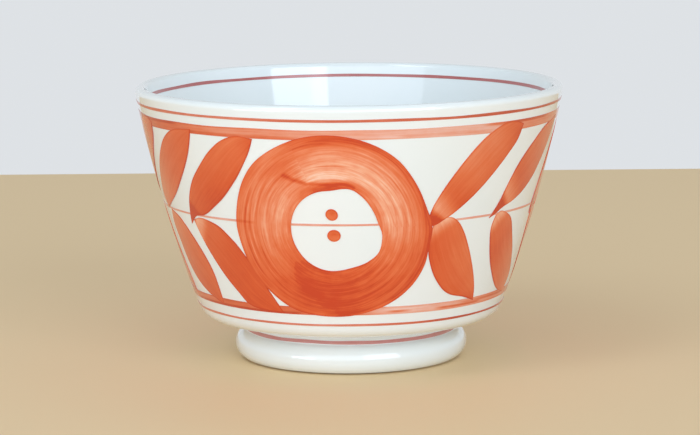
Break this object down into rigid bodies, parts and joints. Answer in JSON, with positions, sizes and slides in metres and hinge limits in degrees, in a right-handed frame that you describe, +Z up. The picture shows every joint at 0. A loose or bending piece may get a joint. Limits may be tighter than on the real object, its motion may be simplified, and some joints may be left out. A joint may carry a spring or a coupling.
{
  "type": "rice bowl",
  "caption": "Footed porcelain rice bowl with a flaring wall and a rounded lip, painted outside with red enamel flowers, leaves and bands; holds a portion of rice.",
  "frame": {"origin": "on the bowl's axis, at the plane it stands on", "axes": "+Z up along the bowl's axis; -Y faces the first painted flower; +X to the right of someone who looks at that flower"},
  "size_m": [0.121, 0.121, 0.078],
  "materials": {
    "porcelain_clay": "matt bare porcelain, smooth",
    "clear_glaze": "glossy, faintly blue-white",
    "red_enamel": "glossy orange-red enamel with brush streaks",
    "thin_red_enamel": "glossy thin salmon-red enamel",
    "brown_enamel": "glossy rosy-brown enamel"
  },
  "bodies": {
    "root": {"base_line": "thin_red_enamel", "clay_body": "porcelain_clay", "far_leaf_lower_1": "red_enamel", "far_leaf_lower_2": "red_enamel", "far_leaf_lower_3": "red_enamel", "far_leaf_upper_1": "red_enamel", "far_leaf_upper_2": "red_enamel", "far_leaf_upper_3": "red_enamel", "flower_dot_lower_1": "red_enamel", "flower_dot_lower_2": "red_enamel", "flower_dot_lower_3": "red_enamel", "flower_dot_upper_1": "red_enamel", "flower_dot_upper_2": "red_enamel", "flower_dot_upper_3": "red_enamel", "flower_ring_1": "red_enamel", "flower_ring_2": "red_enamel", "flower_ring_3": "red_enamel", "foot_line": "brown_enamel", "foot_ring": "porcelain_clay", "glaze_coat": "clear_glaze", "inner_line": "brown_enamel", "lower_band": "thin_red_enamel", "middle_leaf_lower_1": "red_enamel", "middle_leaf_lower_2": "red_enamel", "middle_leaf_lower_3": "red_enamel", "middle_leaf_upper_1": "red_enamel", "middle_leaf_upper_2": "red_enamel", "middle_leaf_upper_3": "red_enamel", "near_leaf_lower_1": "red_enamel", "near_leaf_lower_2": "red_enamel", "near_leaf_lower_3": "red_enamel", "near_leaf_upper_1": "red_enamel", "near_leaf_upper_2": "red_enamel", "near_leaf_upper_3": "red_enamel", "recess_glaze": "clear_glaze", "rim_line": "thin_red_enamel", "stem_line": "thin_red_enamel", "upper_band": "thin_red_enamel"}
  },
  "joints": []
}
